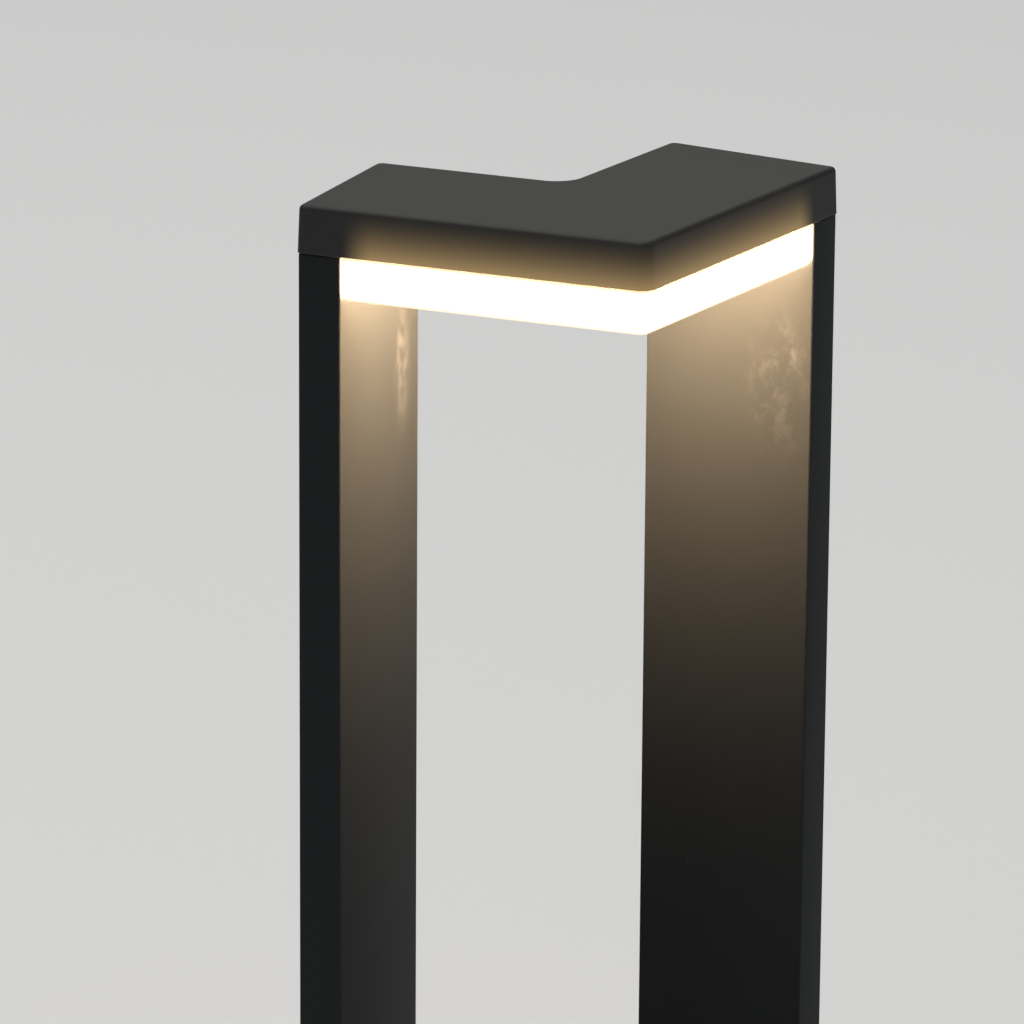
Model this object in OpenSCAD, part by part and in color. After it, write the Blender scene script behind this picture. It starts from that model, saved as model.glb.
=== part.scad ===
// Bollard light with a folded head: two flat aluminium posts stand at the ends of a
// chevron-shaped base and carry a chevron-shaped lamp head with an opal light tray.
//
// Millimetres, +Z up. The origin is the middle of the footprint on the ground.
// The folded corner points to -Y, the open side of the fold faces +Y.
// Places on an arm are given as [s, d]: s runs along the arm from the sharp corner of
// the outline towards the arm's end, d runs from the outer face towards the inner one.

/* [Overall] */
// Height from the ground to the top of the head
height = 600; // [450:10:1000]
// Length of an arm's outer face, from the sharp corner to the arm's end
arm_l = 180; // [150:1:220]
// Width of an arm, from its outer face to its inner face
arm_w = 94; // [86:1:112]
// Inside angle of the fold, in degrees
fold_angle = 99; // [92:1:105]
// Radius of the outer corner of the fold
corner_r = 7.5; // [4:0.5:12]
// Radius of the inner corner of the fold
notch_r = 13; // [8:1:22]
// Radius of the outer upright edges at the arm ends
end_r = 2; // [1:0.5:3]
// Radius of the inner upright edges at the arm ends
back_r = 4; // [3:0.5:6]

/* [Head cover] */
// Height of the head cover
cover_h = 24; // [22:0.5:34]
// Side wall of the head cover
cover_wall = 3; // [2.4:0.1:3.2]
// Top wall of the head cover
cover_top = 3; // [2.5:0.1:4]
// How far the casting draft widens the cover at its rim
cover_flare = 0.8; // [0.2:0.1:1.2]
// Rounding of the cover's top edge
cover_round = 1.6; // [0.8:0.2:2.4]
// Outer diameter of the cover's screw pillars
pillar_d = 8; // [7:0.5:10]

/* [Light tray] */
// Height of the opal tray below the cover
tray_h = 22.5; // [18:0.5:30]
// Wall of the opal tray
tray_wall = 2.6; // [2:0.1:2.8]
// Rounding of the tray's lower edge
tray_round = 6; // [4:0.5:12]
// How much of the lower edge's rounding there is at the tray's ends
tray_end = 0.6; // [0:0.1:1]
// Gap between the tray and a post
tray_gap = 0.4; // [0.2:0.1:1]
// Thickness of the gasket between the tray and the cover
gasket_t = 0.5; // [0.4:0.1:1]
// Length of a snap hook along the arm
hook_l = 14; // [8:1:20]

/* [Light engine] */
// Thickness of the chassis plate
chassis_t = 3; // [2.5:0.5:4]
// Thickness of the heat pad
pad_t = 0.4; // [0.3:0.1:1]
// Thickness of the metal-core circuit board
board_t = 1.6; // [1:0.2:2]
// Inset of the circuit board from the arm's faces
board_inset = 15; // [13:1:18]
// Number of light chips in the longer row on each arm
chips_per_row = 8; // [4:1:10]
// Spacing of the light chips along a row
chip_pitch = 14; // [8:1:15]
// Side of a light chip
chip_size = 3.5; // [2.8:0.1:5]
// Thickness of the white reflector sheet
reflector_t = 0.4; // [0.3:0.1:0.6]

/* [Posts] */
// Thickness of a post, along the arm
post_t = 22; // [18:0.5:26]
// Wall of the extruded posts
post_wall = 2.2; // [1.8:0.1:3]
// Radius of the posts' outer edges
post_edge_r = 1; // [0.4:0.2:2]
// Thickness of the webs that carry the screw ports
web_t = 2; // [1.5:0.5:3]
// Outer diameter of a screw port
port_d = 9; // [8:0.2:10]
// Thread diameter of the post screws
post_screw_d = 5; // [4:0.5:5]
// Distance from the post's narrow side to a screw port
port_edge = 14; // [11:0.5:18]
// Thickness of the flat seals above and below a post
seal_t = 0.6; // [0.4:0.1:1.5]

/* [Base] */
// Height of the base housing
base_h = 36; // [36:1:60]
// Side wall of the base housing
base_wall = 3.5; // [3:0.5:4.5]
// Top wall of the base housing
base_top = 4; // [3.5:0.5:5]
// Rounding of the base's top edge
base_round = 1.6; // [0.8:0.2:2.4]
// Diameter of the circle through the three anchor holes
anchor_pcd = 130; // [126:1:134]
// Bore of an anchor hole
anchor_bore = 9; // [7:0.5:11]
// Outer diameter of an anchor sleeve
sleeve_d = 20; // [19.5:0.5:22]
// Counterbore for the anchor's head
counterbore_d = 16; // [15:0.5:16.5]
// Depth of the counterbore
counterbore_depth = 14; // [10:1:18]
// Height of the arch that lets water drain out of the base
drain_h = 6; // [3:1:10]

// Width of the slot that lets a surface-laid supply cable in
cable_slot_w = 14; // [12:1:16]

/* [Gear in the base] */
// Length of the driver's case
driver_l = 78; // [66:1:84]
// Width of the driver's case
driver_w = 38; // [30:1:40]
// Height of the driver's case
driver_h = 19; // [15:1:22]
// Length of the junction box
box_l = 66; // [60:1:74]
// Width of the junction box
box_w = 40; // [36:1:42]
// Height of the junction box without its lid
box_h = 22; // [20:0.5:24]
// Wall of the junction box
box_wall = 2.4; // [2:0.2:3]
// Thickness of the junction box's lid
lid_t = 3; // [2.5:0.5:3.5]
// Thickness of the lid's seal
lid_seal_t = 0.8; // [0.5:0.1:1.2]
// Thread diameter of the cable glands
gland_d = 12; // [10:1:14]
// Bore of the supply gland's rubber insert
gland_bore = 7; // [5:0.5:8]
// Outer diameter of the internal leads
lead_d = 5; // [4:0.5:5.5]

/* [Hidden] */
$fn = 48;

// Clearance on the radius between a screw and its hole
play = 0.1;
// Clearance between the chassis and the cover's side wall
fit = 0.3;
// How much tighter a post's back edge is than the cover's, whose rim stands over it
post_back_less = 0.8;
half = fold_angle / 2;
arm_dir = [sin(half), cos(half)];
in_dir = [-cos(half), sin(half)];
front_y = corner_r * (1 / sin(half) - 1);
back_y = arm_l * cos(half) + arm_w * sin(half) - back_r * (cos(half) + sin(half) - 1);
corner_y = -(front_y + back_y) / 2;

rim_z = height - cover_h;
chassis_z = rim_z + chassis_t;
ceiling_z = height - cover_top;
post_z0 = base_h + seal_t;
post_z1 = rim_z - seal_t;
tray_z1 = rim_z - gasket_t;
tray_z0 = rim_z - tray_h;
tray_l = arm_l - post_t - tray_gap;
pad_z = rim_z - pad_t;
board_z = pad_z - board_t;
board_l = arm_l - post_t - board_inset;
chip_h = 0.9;
chip_rows = [arm_w / 3, arm_w * 2 / 3];
chip_end = board_l - 6;
post_s = arm_l - post_t / 2;
mid_d = arm_w / 2;
ports = [port_edge, arm_w - port_edge];
cover_screw_places = [[arm_l - post_t - 18, 9.5], [arm_l - post_t - 18, arm_w - 9.5]];
cover_screw_y = 9.9 / sin(half);
cover_screw_d = 4;
board_screw_places = [[board_l - 16, mid_d], [board_l - 66, mid_d]];
board_screw_y = mid_d / sin(half) - 8;
board_screw_d = 3;
outer_hooks = [board_l - 82, board_l - 20];
inner_hook = board_l - 20;
// The hook's tab and barb, as distances from the arm's face, and the chassis notch
tab_out = cover_wall + 0.8;
tab_in = tab_out + 1.6;
barb_in = tab_in + 1.4;
notch_in = tab_in + 0.6;
barb_z = chassis_z + 2.3;
conn = [18, 10, 11];
conn_s = board_l - 41;
wire_z = rim_z + 8.5;
inner_z = base_h - base_top;
anchor_y = 30;
ring_y = anchor_y + anchor_pcd / 2;
driver_s0 = 60;
driver_d0 = 5;
ear_l = 9;
ear_t = 3;
box_s0 = 62;
box_d0 = 5;
box_z = inner_z - box_h;
lid_z = box_z - lid_seal_t - lid_t;
gland_z = inner_z - 12;
box_mid = box_d0 + box_w / 2;
hole_d = 12;

// A point of the plan, in arm coordinates, on the right arm (side = 1) or left arm (-1)
function place(s, d, side = 1) =
    let (p = arm_dir * s + in_dir * d) [side * p[0], p[1] + corner_y];

// Points of one rounded corner between two faces with the outward angles a0 and a1.
// A negative radius rounds an inward corner.
function corner(p, a0, a1, r, n) =
    let (u = [cos(a0), sin(a0)], v = [cos(a1), sin(a1)], c = p - r * (u + v) / (1 + u * v))
    [for (i = [0:n]) let (a = a0 + (a1 - a0) * i / n) c + r * [cos(a), sin(a)]];

// The chevron outline: faces inset by e, arms l long, ends rounded by r outside and
// by that much more inside as back_r is larger than end_r
function chevron(e, l, r, n = 8) = concat(
    corner([0, corner_y + e / sin(half)], 180 + half, 360 - half, max(corner_r - e, 0.4), n),
    corner(place(l, e), -half, 90 - half, r, 4),
    corner(place(l, arm_w - e), 90 - half, 180 - half, r + back_r - end_r, 4),
    corner([0, corner_y + (arm_w - e) / sin(half)], 180 - half, half, -(notch_r + e), n),
    corner(place(l, arm_w - e, -1), half, 90 + half, r + back_r - end_r, 4),
    corner(place(l, e, -1), 90 + half, 180 + half, r, 4));

// A solid skinned over equal-length chevron rings, each given as [z, points]. The two
// flat ends fan out from the tip of the fold, which sees every other corner.
module skin(rings, tip = 4) {
    n = len(rings[0][1]);
    m = len(rings);
    polyhedron(
        points = [for (g = rings) for (p = g[1]) [p[0], p[1], g[0]]],
        faces = concat(
            [[for (i = [0:n - 1]) (i + tip) % n]],
            [for (k = [0:m - 2]) for (i = [0:n - 1])
                [k * n + (i + 1) % n, k * n + i, (k + 1) * n + i, (k + 1) * n + (i + 1) % n]],
            [[for (i = [n:-1:1]) (m - 1) * n + (i + tip) % n]]));
}

module plate(z0, z1, e, l, r = 1) {
    translate([0, 0, z0])
        linear_extrude(z1 - z0)
            polygon(chevron(e, l, r));
}

// Puts children into the arm's coordinates: x is s, y is d
module right_arm() {
    translate([0, corner_y, 0])
        rotate(90 - half)
            children();
}

module left_arm() {
    mirror([1, 0, 0])
        right_arm()
            children();
}

module both_arms() {
    right_arm() children();
    left_arm() children();
}

module rod(s, d, z0, z1, dia) {
    translate([s, d, z0])
        cylinder(d = dia, h = z1 - z0);
}

module block(s0, s1, d0, d1, z0, z1) {
    translate([s0, d0, z0])
        cube([s1 - s0, d1 - d0, z1 - z0]);
}

// A socket-head screw that points up, its head's bearing face at z
module screw_up(s, d, z, dia, length) {
    difference() {
        union() {
            rod(s, d, z - dia * 0.6, z, dia * 1.8);
            rod(s, d, z - 0.1, z + length, dia);
        }
        translate([s, d, z - dia * 0.6 - 1])
            cylinder(d = dia * 0.9, h = dia * 0.35 + 1, $fn = 6);
    }
}

module screw_down(s, d, z, dia, length) {
    translate([0, 0, 2 * z])
        mirror([0, 0, 1])
            screw_up(s, d, z, dia, length);
}

function unit(v) = v / norm(v);

// A smooth path through the points, n steps from each one to the next
function smooth(p, n) = concat(
    [for (i = [0:len(p) - 2]) for (k = [0:n - 1])
        let (a = p[max(i - 1, 0)], b = p[i], c = p[i + 1], d = p[min(i + 2, len(p) - 1)],
             t = k / n)
        0.5 * (2 * b + (c - a) * t + (2 * a - 5 * b + 4 * c - d) * t * t
               + (3 * b - a - 3 * c + d) * t * t * t)],
    [p[len(p) - 1]]);

// A tube swept along a path; side is a direction that the path never follows
module tube(path, dia, side) {
    n = 8;
    m = len(path);
    rings = [for (i = [0:m - 1])
        let (t = unit(path[min(i + 1, m - 1)] - path[max(i - 1, 0)]),
             u = unit(cross(t, side)), v = cross(t, u))
        for (j = [0:n - 1])
            let (a = 360 * j / n)
            path[i] + dia / 2 * (cos(a) * u + sin(a) * v)];
    polyhedron(
        points = rings,
        faces = concat(
            [[for (j = [0:n - 1]) j]],
            [for (i = [0:m - 2]) for (j = [0:n - 1])
                [i * n + (j + 1) % n, i * n + j, (i + 1) * n + j, (i + 1) * n + (j + 1) % n]],
            [[for (j = [n - 1:-1:0]) (m - 1) * n + j]]));
}

// ---- Head ----

module head_cover() {
    color([0.31, 0.31, 0.3]) {
        difference() {
            skin(concat(
                [[rim_z, chevron(-cover_flare, arm_l + cover_flare, end_r)],
                 [height - cover_round, chevron(0, arm_l, end_r)]],
                [for (i = [1:4])
                    let (a = i * 22.5, e = cover_round * (1 - cos(a)))
                    [height - cover_round * (1 - sin(a)),
                     chevron(e, arm_l - e, max(end_r - e, 0.4))]]));
            plate(rim_z - 1, ceiling_z, cover_wall, arm_l - cover_wall);
        }
        difference() {
            union() {
                both_arms()
                    for (p = cover_screw_places)
                        rod(p[0], p[1], chassis_z, ceiling_z + 0.5, pillar_d);
                translate([0, corner_y, 0])
                    rod(0, cover_screw_y, chassis_z, ceiling_z + 0.5, pillar_d);
            }
            cover_screw_holes(chassis_z - 1, chassis_z + 13);
        }
    }
}

module cover_screw_holes(z0, z1) {
    both_arms()
        for (p = cover_screw_places)
            rod(p[0], p[1], z0, z1, cover_screw_d + 2 * play);
    translate([0, corner_y, 0])
        rod(0, cover_screw_y, z0, z1, cover_screw_d + 2 * play);
}

module head_chassis() {
    color([0.7, 0.72, 0.74])
        difference() {
            plate(rim_z, chassis_z, cover_wall + fit, arm_l - cover_wall - fit);
            cover_screw_holes(rim_z - 1, chassis_z + 1);
            board_screw_holes(rim_z - 1, chassis_z + 1);
            both_arms() {
                for (d = ports)
                    rod(post_s, d, rim_z - 1, chassis_z + 1, post_screw_d + 0.6);
                for (s = outer_hooks)
                    block(s - hook_l / 2 - 1, s + hook_l / 2 + 1, cover_wall - 1, notch_in,
                          rim_z - 1, chassis_z + 1);
                block(inner_hook - hook_l / 2 - 1, inner_hook + hook_l / 2 + 1,
                      arm_w - notch_in, arm_w - cover_wall + 1, rim_z - 1, chassis_z + 1);
            }
            right_arm() {
                rod(post_s, mid_d, rim_z - 1, chassis_z + 1, hole_d);
                connector_window(rim_z - 1, chassis_z + 1);
            }
        }
}

module connector_window(z0, z1) {
    block(conn_s - conn[0] / 2 - 1, conn_s + conn[0] / 2 + 1,
          mid_d - conn[1] / 2 - 1, mid_d + conn[1] / 2 + 1, z0, z1);
}

module cover_screws() {
    color([0.75, 0.76, 0.78]) {
        both_arms()
            for (p = cover_screw_places)
                screw_up(p[0], p[1], rim_z, cover_screw_d, chassis_t + 10);
        translate([0, corner_y, 0])
            screw_up(0, cover_screw_y, rim_z, cover_screw_d, chassis_t + 10);
    }
}

module post_top_screws() {
    color([0.75, 0.76, 0.78])
        both_arms()
            for (d = ports)
                screw_down(post_s, d, chassis_z, post_screw_d, 20);
}

module post_seal(z0) {
    difference() {
        block(arm_l - post_t + 0.6, arm_l - 0.6, 0.6, arm_w - 0.6, z0, z0 + seal_t);
        for (d = ports)
            rod(post_s, d, z0 - 1, z0 + seal_t + 1, post_screw_d + 0.6);
        rod(post_s, mid_d, z0 - 1, z0 + seal_t + 1, hole_d);
        translate([arm_l - post_t, 0, z0 - 1])
            linear_extrude(seal_t + 2)
                back_edge_cutter(0.6);
    }
}

// What the rounded back edge takes off a post's section; e is the inset of the section
module back_edge_cutter(e) {
    r = back_r - post_back_less - e;
    translate([post_t - e - r, arm_w - e - r])
        difference() {
            square(r + 1);
            circle(r);
        }
}

module post_top_seals() {
    color([0.08, 0.08, 0.08])
        both_arms()
            post_seal(post_z1);
}

module post_bottom_seals() {
    color([0.08, 0.08, 0.08])
        both_arms()
            post_seal(base_h);
}

// ---- Light engine ----

module board_screw_holes(z0, z1) {
    both_arms()
        for (p = board_screw_places)
            rod(p[0], p[1], z0, z1, board_screw_d + 2 * play);
    translate([0, corner_y, 0])
        rod(0, board_screw_y, z0, z1, board_screw_d + 2 * play);
}

module thermal_pad() {
    color([0.55, 0.6, 0.7])
        difference() {
            plate(pad_z, rim_z, board_inset + 1, board_l - 1);
            board_screw_holes(pad_z - 1, rim_z + 1);
            right_arm()
                connector_window(pad_z - 1, rim_z + 1);
        }
}

module led_board() {
    color([0.93, 0.93, 0.9])
        difference() {
            plate(board_z, pad_z, board_inset, board_l);
            board_screw_holes(board_z - 1, pad_z + 1);
        }
}

module chip_grid(size, z0, z1) {
    both_arms()
        for (d = chip_rows)
            for (i = [0:chips_per_row - 1])
                if (chip_end - i * chip_pitch > d / tan(half) + 6)
                    block(chip_end - i * chip_pitch - size / 2, chip_end - i * chip_pitch + size / 2,
                          d - size / 2, d + size / 2, z0, z1);
}

module led_chips() {
    color([0.95, 0.85, 0.35])
        chip_grid(chip_size, board_z - chip_h, board_z);
}

module reflector_sheet() {
    color([0.97, 0.97, 0.96])
        difference() {
            plate(board_z - reflector_t, board_z, board_inset, board_l);
            chip_grid(chip_size + 1, board_z - reflector_t - 1, board_z + 1);
            board_screw_holes(board_z - reflector_t - 1, board_z + 1);
        }
}

module board_screws() {
    color([0.75, 0.76, 0.78]) {
        both_arms()
            for (p = board_screw_places)
                screw_up(p[0], p[1], board_z - reflector_t, board_screw_d,
                         reflector_t + board_t + pad_t + chassis_t);
        translate([0, corner_y, 0])
            screw_up(0, board_screw_y, board_z - reflector_t, board_screw_d,
                     reflector_t + board_t + pad_t + chassis_t);
    }
}

module board_connector() {
    color([0.9, 0.88, 0.82])
        right_arm()
            difference() {
                block(conn_s - conn[0] / 2, conn_s + conn[0] / 2,
                      mid_d - conn[1] / 2, mid_d + conn[1] / 2, pad_z, pad_z + conn[2]);
                translate([conn_s + conn[0] / 2 - 6, mid_d, wire_z])
                    rotate([0, 90, 0])
                        cylinder(d = lead_d + 0.6, h = 7);
            }
}

// A rubber ring that sits in the hole of a wall between z0 and z1, its flange at the side away
module grommet(z0, z1, flange_z) {
    right_arm()
        difference() {
            union() {
                rod(post_s, mid_d, z0, z1, hole_d - 2 * play);
                rod(post_s, mid_d, flange_z, flange_z + 1.5, hole_d + 2.4);
            }
            rod(post_s, mid_d, z0 - 3, z1 + 3, lead_d + 0.6);
        }
}

module head_grommet() {
    color([0.08, 0.08, 0.08])
        grommet(rim_z, chassis_z + 0.5, chassis_z);
}

module base_grommet() {
    color([0.08, 0.08, 0.08])
        grommet(inner_z - 0.5, base_h, inner_z - 1.5);
}

// ---- Light tray ----

// A hook of the tray: a rib on the wall, a tab through the chassis and a barb above it
module tray_hook(s) {
    block(s - hook_l / 2, s + hook_l / 2, tray_wall - 0.5, tab_in, tray_z0 + 8, tray_z1 - 1);
    block(s - hook_l / 2, s + hook_l / 2, tab_out, tab_in, tray_z1 - 2, barb_z);
    block(s - hook_l / 2, s + hook_l / 2, tab_in - 0.2, barb_in, chassis_z + 0.2, barb_z);
}

module diffuser() {
    color([1, 0.95, 0.84]) {
        difference() {
            skin(concat(
                [for (i = [0:5])
                    let (a = i * 18, e = tray_round * (1 - sin(a)))
                    [tray_z0 + tray_round * (1 - cos(a)), chevron(e, tray_l - tray_end * e, 0.6)]],
                [[tray_z1, chevron(0, tray_l, 0.6)]]));
            skin(concat(
                [for (i = [0:5])
                    let (a = i * 18, r = tray_round - tray_wall, e = tray_wall + r * (1 - sin(a)))
                    [tray_z0 + tray_wall + r * (1 - cos(a)),
                     chevron(e, tray_l - tray_wall - tray_end * (e - tray_wall), 0.6)]],
                [[tray_z1 + 1, chevron(tray_wall, tray_l - tray_wall, 0.6)]]));
        }
        both_arms() {
            for (s = outer_hooks)
                tray_hook(s);
            translate([0, arm_w, 0])
                mirror([0, 1, 0])
                    tray_hook(inner_hook);
        }
    }
}

module diffuser_gasket() {
    color([0.08, 0.08, 0.08])
        difference() {
            plate(tray_z1, rim_z, 0.5, tray_l - 0.5);
            plate(tray_z1 - 1, rim_z + 1, tray_wall - 0.2, tray_l - tray_wall + 0.2);
        }
}

// ---- Posts ----

module post_section() {
    r = post_edge_r;
    inner = post_wall;
    difference() {
        union() {
            difference() {
                union() {
                    translate([r, 0]) square([post_t - 2 * r, arm_w]);
                    translate([0, r]) square([post_t, arm_w - 2 * r]);
                    for (x = [r, post_t - r])
                        for (y = [r, arm_w - r])
                            translate([x, y]) circle(r);
                }
                translate([inner, inner])
                    square([post_t - 2 * inner, arm_w - 2 * inner]);
            }
            for (d = ports) {
                translate([inner - 0.5, d - web_t / 2])
                    square([post_t - 2 * inner + 1, web_t]);
                translate([post_t / 2, d])
                    circle(d = port_d);
            }
        }
        for (d = ports)
            translate([post_t / 2, d])
                circle(d = post_screw_d + 2 * play);
        back_edge_cutter(0);
    }
}

module post() {
    translate([arm_l - post_t, 0, post_z0])
        linear_extrude(post_z1 - post_z0)
            post_section();
}

module right_post() {
    color([0.13, 0.14, 0.14])
        right_arm()
            post();
}

module left_post() {
    color([0.13, 0.14, 0.14])
        left_arm()
            post();
}

module post_bottom_screws() {
    color([0.75, 0.76, 0.78])
        both_arms()
            for (d = ports)
                screw_up(post_s, d, inner_z, post_screw_d, 24);
}

// ---- Base ----

module at_anchors() {
    for (a = [-90, 30, 150])
        translate([anchor_pcd / 2 * cos(a), corner_y + ring_y + anchor_pcd / 2 * sin(a), 0])
            children();
}

module base_housing() {
    color([0.13, 0.14, 0.14])
        difference() {
            union() {
                difference() {
                    skin(concat(
                        [[0, chevron(0, arm_l, end_r)],
                         [base_h - base_round, chevron(0, arm_l, end_r)]],
                        [for (i = [1:4])
                            let (a = i * 22.5, e = base_round * (1 - cos(a)))
                            [base_h - base_round * (1 - sin(a)),
                             chevron(e, arm_l - e, max(end_r - e, 0.4))]]));
                    plate(-1, inner_z, base_wall, arm_l - base_wall);
                }
                at_anchors()
                    cylinder(d = sleeve_d, h = base_h - 1);
            }
            at_anchors() {
                translate([0, 0, -1])
                    cylinder(d = anchor_bore, h = base_h + 2);
                translate([0, 0, base_h - counterbore_depth])
                    cylinder(d = counterbore_d, h = counterbore_depth + 1);
            }
            both_arms() {
                for (d = ports)
                    rod(post_s, d, inner_z - 1, base_h + 1, post_screw_d + 0.6);
                translate([arm_l - base_wall - 1, mid_d, 0])
                    rotate([0, 90, 0])
                        cylinder(r = drain_h, h = base_wall + 2);
            }
            right_arm() {
                rod(post_s, mid_d, inner_z - 1, base_h + 1, hole_d);
                driver_screw_spots()
                    cylinder(d = 3.5 + 2 * play, h = 3.2);
            }
            left_arm() {
                box_screw_spots()
                    cylinder(d = 3.5 + 2 * play, h = 3.2);
                block(arm_l - base_wall - 1, arm_l + 1, box_mid - cable_slot_w / 2,
                      box_mid + cable_slot_w / 2, -1, gland_z);
                translate([arm_l - base_wall - 1, box_mid, gland_z])
                    rotate([0, 90, 0])
                        cylinder(d = cable_slot_w, h = base_wall + 2);
            }
        }
}

module anchor_plugs() {
    color([0.1, 0.1, 0.1])
        at_anchors() {
            translate([0, 0, base_h - 4])
                cylinder(d = counterbore_d - 0.3, h = 4);
        }
}

// ---- Driver, junction box and leads ----

module driver_screw_spots() {
    for (s = [driver_s0 - ear_l / 2, driver_s0 + driver_l + ear_l / 2])
        translate([s, driver_d0 + driver_w / 2, inner_z])
            children();
}

module driver_case() {
    color([0.9, 0.9, 0.88])
        right_arm()
            difference() {
                union() {
                    block(driver_s0, driver_s0 + driver_l, driver_d0, driver_d0 + driver_w,
                          inner_z - driver_h, inner_z);
                    block(driver_s0 - ear_l, driver_s0 + driver_l + ear_l,
                          driver_d0 + driver_w / 2 - 6, driver_d0 + driver_w / 2 + 6,
                          inner_z - ear_t, inner_z);
                }
                translate([0, 0, -ear_t - 1])
                    driver_screw_spots()
                        cylinder(d = 4, h = ear_t + 2);
                for (s = [driver_s0 - 1, driver_s0 + driver_l - 5])
                    translate([s, driver_d0 + driver_w / 2 + 11, inner_z - 12])
                        rotate([0, 90, 0])
                            cylinder(d = lead_d + 0.6, h = 6);
            }
}

module small_screw(z, length) {
    translate([0, 0, z - 2.2])
        difference() {
            cylinder(d = 6.4, h = 2.2);
            translate([0, 0, -1])
                cylinder(d = 3, h = 2, $fn = 6);
        }
    translate([0, 0, z - 0.1])
        cylinder(d = 3.5, h = length + 0.1);
}

module driver_screws() {
    color([0.75, 0.76, 0.78])
        right_arm()
            driver_screw_spots()
                small_screw(-ear_t, ear_t + 3);
}

module box_screw_spots() {
    for (s = [box_s0 + 17, box_s0 + box_l - 17])
        translate([s, box_d0 + box_w - 7, inner_z])
            children();
}

module lid_screw_spots() {
    for (s = [box_s0 + 5, box_s0 + box_l - 5])
        for (d = [box_d0 + 5, box_d0 + box_w - 5])
            translate([s, d, lid_z])
                children();
}

module gland_axis(s) {
    translate([s, box_mid, gland_z])
        rotate([0, 90, 0])
            children();
}

module junction_box() {
    color([0.2, 0.2, 0.21])
        left_arm()
            difference() {
                union() {
                    difference() {
                        block(box_s0, box_s0 + box_l, box_d0, box_d0 + box_w, box_z, inner_z);
                        block(box_s0 + box_wall, box_s0 + box_l - box_wall,
                              box_d0 + box_wall, box_d0 + box_w - box_wall,
                              box_z - 1, inner_z - box_wall);
                    }
                    translate([0, 0, box_z - lid_z])
                        lid_screw_spots()
                            cylinder(d = 8, h = box_h - 1);
                }
                translate([0, 0, box_z - lid_z - 1])
                    lid_screw_spots()
                        cylinder(d = 3.5 + 2 * play, h = 11);
                translate([0, 0, -box_wall - 1])
                    box_screw_spots()
                        cylinder(d = 4, h = box_wall + 2);
                gland_axis(box_s0 - 1)
                    cylinder(d = gland_d + 2 * play, h = box_wall + 2);
                gland_axis(box_s0 + box_l - box_wall - 1)
                    cylinder(d = gland_d + 2 * play, h = box_wall + 2);
            }
}

module junction_mount_screws() {
    color([0.75, 0.76, 0.78])
        left_arm()
            box_screw_spots()
                small_screw(-box_wall, box_wall + 3);
}

module junction_seal() {
    color([0.08, 0.08, 0.08])
        left_arm()
            difference() {
                block(box_s0 + 0.5, box_s0 + box_l - 0.5, box_d0 + 0.5, box_d0 + box_w - 0.5,
                      box_z - lid_seal_t, box_z);
                difference() {
                    block(box_s0 + box_wall, box_s0 + box_l - box_wall,
                          box_d0 + box_wall, box_d0 + box_w - box_wall,
                          box_z - lid_seal_t - 1, box_z + 1);
                    lid_screw_spots()
                        cylinder(d = 8, h = 9);
                }
                lid_screw_spots()
                    cylinder(d = 4.2, h = 9);
            }
}

module junction_lid() {
    color([0.24, 0.24, 0.25])
        left_arm()
            difference() {
                block(box_s0, box_s0 + box_l, box_d0, box_d0 + box_w, lid_z, lid_z + lid_t);
                translate([0, 0, -1])
                    lid_screw_spots()
                        cylinder(d = 4, h = lid_t + 2);
            }
}

module junction_lid_screws() {
    color([0.75, 0.76, 0.78])
        left_arm()
            lid_screw_spots()
                small_screw(0, 12);
}

// A gland along +z: thread through the wall at z = 0, collar and dome outside
module gland(bore) {
    difference() {
        union() {
            translate([0, 0, -box_wall - 5])
                cylinder(d = gland_d, h = box_wall + 5.2);
            cylinder(d = gland_d + 6, h = 5, $fn = 6);
            translate([0, 0, 5])
                cylinder(d1 = gland_d + 4, d2 = bore + 5, h = 9);
        }
        translate([0, 0, -box_wall - 6])
            cylinder(d = bore, h = box_wall + 21);
    }
}

module gland_nut() {
    translate([0, 0, -box_wall - 4])
        difference() {
            cylinder(d = gland_d + 6, h = 4, $fn = 6);
            translate([0, 0, -1])
                cylinder(d = gland_d + 2 * play, h = 6);
        }
}

module supply_gland() {
    color([0.12, 0.12, 0.12])
        left_arm()
            gland_axis(box_s0 + box_l)
                gland(gland_bore + 1.6);
}

module supply_gland_nut() {
    color([0.12, 0.12, 0.12])
        left_arm()
            gland_axis(box_s0 + box_l)
                gland_nut();
}

module supply_gland_insert() {
    color([0.3, 0.3, 0.3])
        left_arm()
            gland_axis(box_s0 + box_l)
                difference() {
                    translate([0, 0, 1])
                        cylinder(d = gland_bore + 1.4, h = 13);
                    cylinder(d = gland_bore, h = 15);
                }
}

module lead_gland() {
    color([0.12, 0.12, 0.12])
        left_arm()
            gland_axis(box_s0)
                mirror([0, 0, 1])
                    gland(lead_d + 0.6);
}

module lead_gland_nut() {
    color([0.12, 0.12, 0.12])
        left_arm()
            gland_axis(box_s0)
                mirror([0, 0, 1])
                    gland_nut();
}

block_s = box_s0 + box_l / 2 - 12;
block_z = inner_z - box_wall - 13;

module terminal_block() {
    color([0.85, 0.85, 0.82])
        left_arm()
            difference() {
                block(block_s, block_s + 24, box_mid - 14, box_mid + 1,
                      block_z, inner_z - box_wall);
                for (i = [0:2])
                    rod(block_s + 4 + 8 * i, box_mid - 6.5, block_z - 1, block_z + 6, 4.4);
            }
}

module terminal_screws() {
    color([0.75, 0.76, 0.78])
        left_arm()
            for (i = [0:2])
                difference() {
                    rod(block_s + 4 + 8 * i, box_mid - 6.5, block_z + 1, block_z + 6, 4.2);
                    block(block_s + 2 + 8 * i, block_s + 6 + 8 * i,
                          box_mid - 6.9, box_mid - 6.1, block_z, block_z + 2);
                }
}

function at(s, d, z, side = 1) = let (p = place(s, d, side)) [p[0], p[1], z];

driver_lead_d = driver_d0 + driver_w / 2 + 11;
driver_lead_z = inner_z - 12;

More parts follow.
